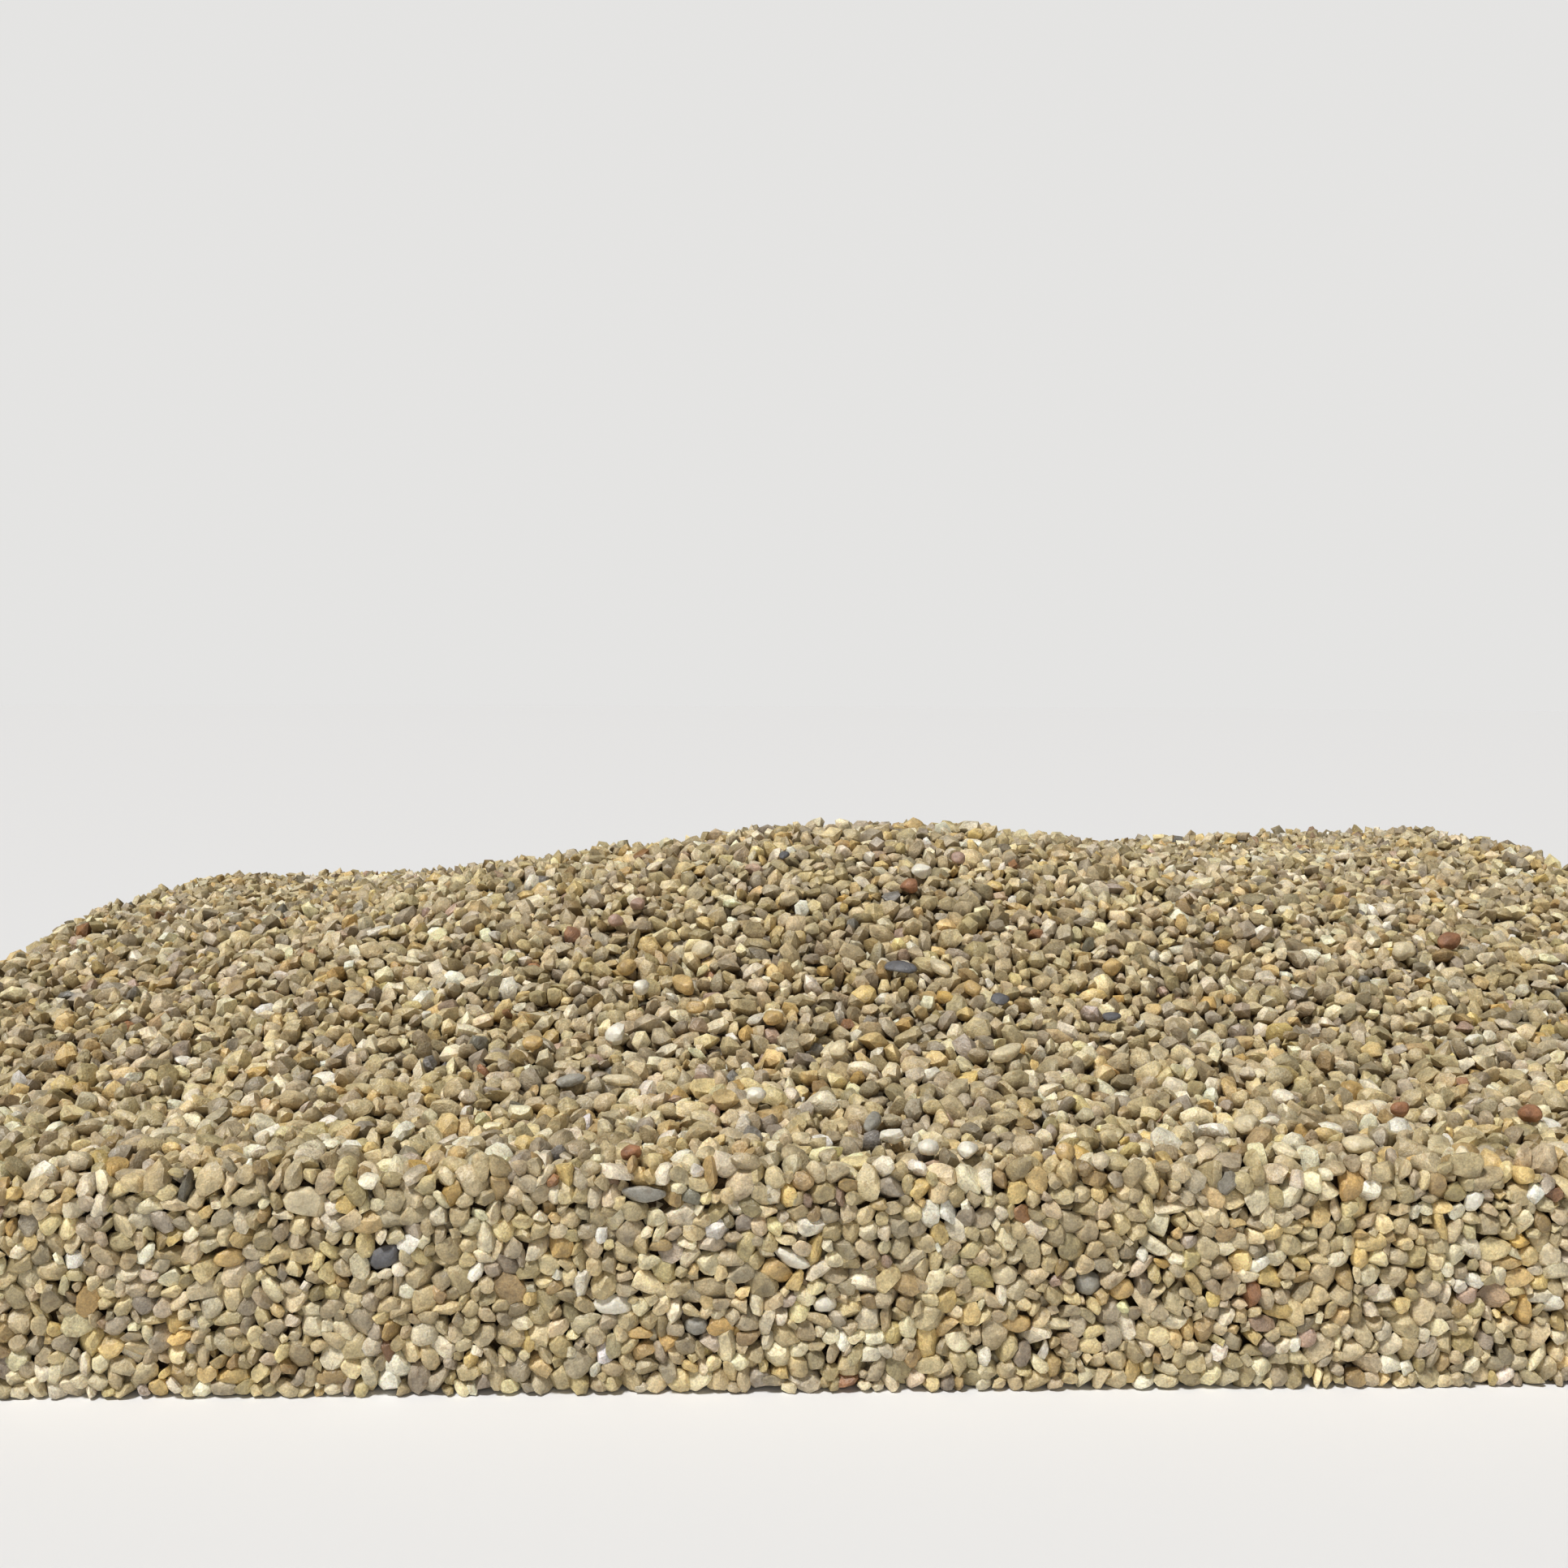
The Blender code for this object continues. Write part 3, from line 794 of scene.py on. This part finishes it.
class GRAVEL_OT_core(Operator):
    """Build the heap under the loose grains"""
    bl_idname = "gravel.core"
    bl_label = "Deep gravel"

    def execute(self, context):
        height = bed_height()
        inset, sunk, lift = 4.6, 5.2, 3.0
        size = (HIGH - LOW)[:2] - 2 * inset
        form = bmesh.new()
        cells = (size / 5).astype(int)
        bmesh.ops.create_grid(form, x_segments=int(cells[0]), y_segments=int(cells[1]), size=0.5,
                              matrix=Matrix.Diagonal((size[0] / MM, size[1] / MM, 1, 1)))
        rim = [edge for edge in form.edges if edge.is_boundary]
        for vert in form.verts:
            vert.co.z = (float(height(vert.co.x * MM, vert.co.y * MM)) - sunk) / MM
        for level in (0.66, 0.33, 0.0):
            walls = bmesh.ops.extrude_edge_only(form, edges=rim)["geom"]
            for vert in (g for g in walls if isinstance(g, bmesh.types.BMVert)):
                full = float(height(vert.co.x * MM, vert.co.y * MM)) - sunk - lift
                vert.co.z = (lift + full * level) / MM
            rim = [g for g in walls if isinstance(g, bmesh.types.BMEdge)]
        bmesh.ops.holes_fill(form, edges=rim)
        bmesh.ops.triangulate(form, faces=[f for f in form.faces if len(f.verts) > 4])
        bmesh.ops.recalc_face_normals(form, faces=form.faces[:])
        chance = np.random.default_rng(3)
        for vert in form.verts:
            vert.co += Vector(chance.uniform(-0.0009, 0.0009, 3))
        mesh = bpy.data.meshes.new("deep_gravel")
        form.to_mesh(mesh)
        form.free()
        # The heap's dark colour is painted shade for the deep grains
        mesh.materials.append(deep_painted_shade_material(context.scene.gravel_colours))
        piece = bpy.data.objects.new("deep_gravel", mesh)
        context.scene.collection.objects.link(piece)
        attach(piece, "root")
        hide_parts(BED)
        return {"FINISHED"}


class GRAVEL_OT_surface(Operator):
    """Heap the loose grains on the surface, in one piece for each part of the bed"""
    bl_idname = "gravel.surface"
    bl_label = "Surface grains"

    def execute(self, context):
        grains = prepare_grains(context)
        at, top = grains["at"], grains["zone"] == TOP
        bands = [("front", at[:, 1] < MIDDLE), ("middle", (at[:, 1] >= MIDDLE) & (at[:, 1] < BACK)),
                 ("back", at[:, 1] >= BACK)]
        for place, band in bands:
            grain_piece(context, f"surface_grains_{place}_left", top & band & (at[:, 0] < 0))
            grain_piece(context, f"surface_grains_{place}_right", top & band & (at[:, 0] >= 0))
        return {"FINISHED"}


class GRAVEL_OT_sides(Operator):
    """Press grains flat against the four upright sides"""
    bl_idname = "gravel.sides"
    bl_label = "Side grains"

    def execute(self, context):
        grains = prepare_grains(context)
        at, beside = grains["at"], grains["zone"] == SIDE
        near = np.stack([at[:, 1] - LOW[1], HIGH[1] - at[:, 1], at[:, 0] - LOW[0], HIGH[0] - at[:, 0]], 1)
        nearest = near.argmin(1)
        for index, place in enumerate(("front", "back", "left", "right")):
            grain_piece(context, f"side_grains_{place}", beside & (nearest == index))
        return {"FINISHED"}


class GRAVEL_OT_underside(Operator):
    """Lay the lowest grains on the floor"""
    bl_idname = "gravel.underside"
    bl_label = "Underside grains"

    def execute(self, context):
        grains = prepare_grains(context)
        grain_piece(context, "underside_grains", grains["zone"] == UNDER)
        return {"FINISHED"}


class GRAVEL_OT_stones(Operator):
    """Wear the edges of the single stones and give each its finish"""
    bl_idname = "gravel.stones"
    bl_label = "Single stones"

    def execute(self, context):
        slots = {part["node"]: part["material_slot"] for part in frame["record"]["subparts"]}
        for name in single_stones():
            self.add_stone(context, name, slots[name])
        return {"FINISHED"}

    def add_stone(self, context, name, slot):
        """Bevel, smooth and roughen one stone, by shares of its size."""
        form = bmesh.new()
        form.from_mesh(frame["nodes"][name].data)
        bmesh.ops.remove_doubles(form, verts=form.verts[:], dist=0.00002)
        bmesh.ops.dissolve_limit(form, angle_limit=math.radians(4), verts=form.verts[:], edges=form.edges[:])
        size = max((a.co - b.co).length for a in form.verts for b in form.verts)
        bmesh.ops.bevel(form, geom=form.edges[:], offset=size * 0.045, offset_type="OFFSET", segments=2,
                        profile=0.5, affect="EDGES", clamp_overlap=True, material=-1)
        bmesh.ops.triangulate(form, faces=form.faces[:])
        long_edges = [edge for edge in form.edges if edge.calc_length() > size * 0.12]
        bmesh.ops.subdivide_edges(form, edges=long_edges, cuts=1)
        bmesh.ops.triangulate(form, faces=form.faces[:])
        for _ in range(2):
            bmesh.ops.smooth_vert(form, verts=form.verts[:], factor=0.3,
                                  use_axis_x=True, use_axis_y=True, use_axis_z=True)
        bmesh.ops.recalc_face_normals(form, faces=form.faces[:])
        form.normal_update()
        for vert in form.verts:
            wave = noise.noise(vert.co * 900) * 0.6 + noise.noise(vert.co * 2300) * 0.4
            vert.co += vert.normal * wave * size * 0.022
            vert.co = Vector(np.clip(vert.co, LOW / MM, HIGH / MM))
        for face in form.faces:
            face.smooth = True
        mesh = bpy.data.meshes.new(name + "_worn")
        form.to_mesh(mesh)
        form.free()
        mesh.set_sharp_from_angle(angle=math.radians(42))
        mesh.materials.append(stone_material(slot, context.scene.gravel_colours))
        piece = bpy.data.objects.new(name + "_worn", mesh)
        context.scene.collection.objects.link(piece)
        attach(piece, "root")
        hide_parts(name)


class GRAVEL_OT_studio(Operator):
    """Set up the floor, the soft light and the camera"""
    bl_idname = "gravel.studio"
    bl_label = "Studio"

    def execute(self, context):
        studio = context.scene.gravel_studio
        self.add_floor(context, studio)
        self.add_light(context, "Key light", (-0.45, -0.36, 1.0), 12, studio.key)
        self.add_light(context, "Fill light", (0.1, -1.0, 0.3), 50, studio.fill)
        self.add_surroundings(context, studio)
        context.scene.view_settings.view_transform = "Standard"
        self.add_camera(context)
        return {"FINISHED"}

    def add_floor(self, context, studio):
        """A wide round floor."""
        form = bmesh.new()
        bmesh.ops.create_circle(form, cap_ends=True, segments=96, radius=12)
        mesh = bpy.data.meshes.new("floor")
        form.to_mesh(mesh)
        form.free()
        material = bpy.data.materials.new("Floor")
        material.use_nodes = True
        shader = material.node_tree.nodes["Principled BSDF"]
        shader.inputs["Base Color"].default_value = (*studio.floor, 1)
        shader.inputs["Roughness"].default_value = 0.9
        shader.inputs["Specular IOR Level"].default_value = 0.2
        mesh.materials.append(material)
        floor = bpy.data.objects.new("floor", mesh)
        context.scene.collection.objects.link(floor)

    def add_surroundings(self, context, studio):
        """Even light from all round, and a pale backdrop where the floor ends."""
        world = bpy.data.worlds.new("Surroundings")
        world.use_nodes = True
        nodes, links = world.node_tree.nodes, world.node_tree.links
        light = nodes["Background"]
        light.inputs["Color"].default_value = (1.0, 0.95, 0.86, 1)
        light.inputs["Strength"].default_value = studio.sky
        backdrop = nodes.new("ShaderNodeBackground")
        backdrop.inputs["Color"].default_value = (*studio.backdrop, 1)
        path = nodes.new("ShaderNodeLightPath")
        mix = nodes.new("ShaderNodeMixShader")
        links.new(path.outputs["Is Camera Ray"], mix.inputs["Fac"])
        links.new(light.outputs["Background"], mix.inputs[1])
        links.new(backdrop.outputs["Background"], mix.inputs[2])
        links.new(mix.outputs["Shader"], nodes["World Output"].inputs["Surface"])
        context.scene.world = world

    def add_light(self, context, name, way, softness, strength):
        """A far light that shines from one way, with soft shadows."""
        data = bpy.data.lights.new(name, "SUN")
        data.angle = math.radians(softness)
        data.energy = strength
        light = bpy.data.objects.new(name, data)
        light.location = way
        light.rotation_euler = Vector(way).to_track_quat("Z", "Y").to_euler()
        context.scene.collection.objects.link(light)

    def add_camera(self, context):
        """The camera at the photo's place, turned right by the yaw and down by the pitch."""
        pitch, yaw, roll = map(math.radians, (3.41, 1.65, 0.22))
        place = (-0.0286, -0.4168, 0.1249)
        ahead = Vector((math.sin(yaw) * math.cos(pitch), math.cos(yaw) * math.cos(pitch), -math.sin(pitch)))
        right = Vector((math.cos(yaw), -math.sin(yaw), 0))
        above = right.cross(ahead)
        rolled = math.cos(roll) * right + math.sin(roll) * above
        upright = math.cos(roll) * above - math.sin(roll) * right
        turn = Matrix((rolled, upright, -ahead)).transposed().to_4x4()
        data = bpy.data.cameras.new("Camera")
        data.sensor_width = 36
        data.lens = 36 * 1935 / 1932
        data.clip_start = 0.01
        camera = bpy.data.objects.new("Camera", data)
        camera.matrix_world = Matrix.Translation(place) @ turn
        context.scene.collection.objects.link(camera)
        context.scene.camera = camera


class GRAVEL_PT_bed(Panel):
    """Shows the gravel bed's settings and the buttons that build its pieces"""
    bl_idname = "GRAVEL_PT_bed"
    bl_label = "Gravel bed"
    bl_space_type = "VIEW_3D"
    bl_region_type = "UI"
    bl_category = "Gravel"

    def draw(self, context):
        for title, group in (("Grains", "gravel_grains"), ("Colours", "gravel_colours"),
                             ("Studio", "gravel_studio")):
            box = self.layout.box()
            box.label(text=title)
            settings = getattr(context.scene, group)
            for name in settings.__annotations__:
                box.prop(settings, name)
        for operator in OPERATORS:
            self.layout.operator(operator.bl_idname)


GROUPS = {"gravel_grains": GravelGrains, "gravel_colours": GravelColours, "gravel_studio": GravelStudio}
OPERATORS = (GRAVEL_OT_core, GRAVEL_OT_surface, GRAVEL_OT_sides, GRAVEL_OT_underside, GRAVEL_OT_stones,
             GRAVEL_OT_studio)


def register():
    for item in (*GROUPS.values(), *OPERATORS, GRAVEL_PT_bed):
        bpy.utils.register_class(item)
    for name, group in GROUPS.items():
        setattr(bpy.types.Scene, name, PointerProperty(type=group))


def unregister():
    for name in GROUPS:
        delattr(bpy.types.Scene, name)
    for item in (GRAVEL_PT_bed, *reversed(OPERATORS), *reversed(list(GROUPS.values()))):
        bpy.utils.unregister_class(item)


def main():
    register()
    bpy.ops.gravel.core()
    bpy.ops.gravel.surface()
    bpy.ops.gravel.sides()
    bpy.ops.gravel.underside()
    bpy.ops.gravel.stones()
    bpy.ops.gravel.studio()


if __name__ == "__main__":
    main()
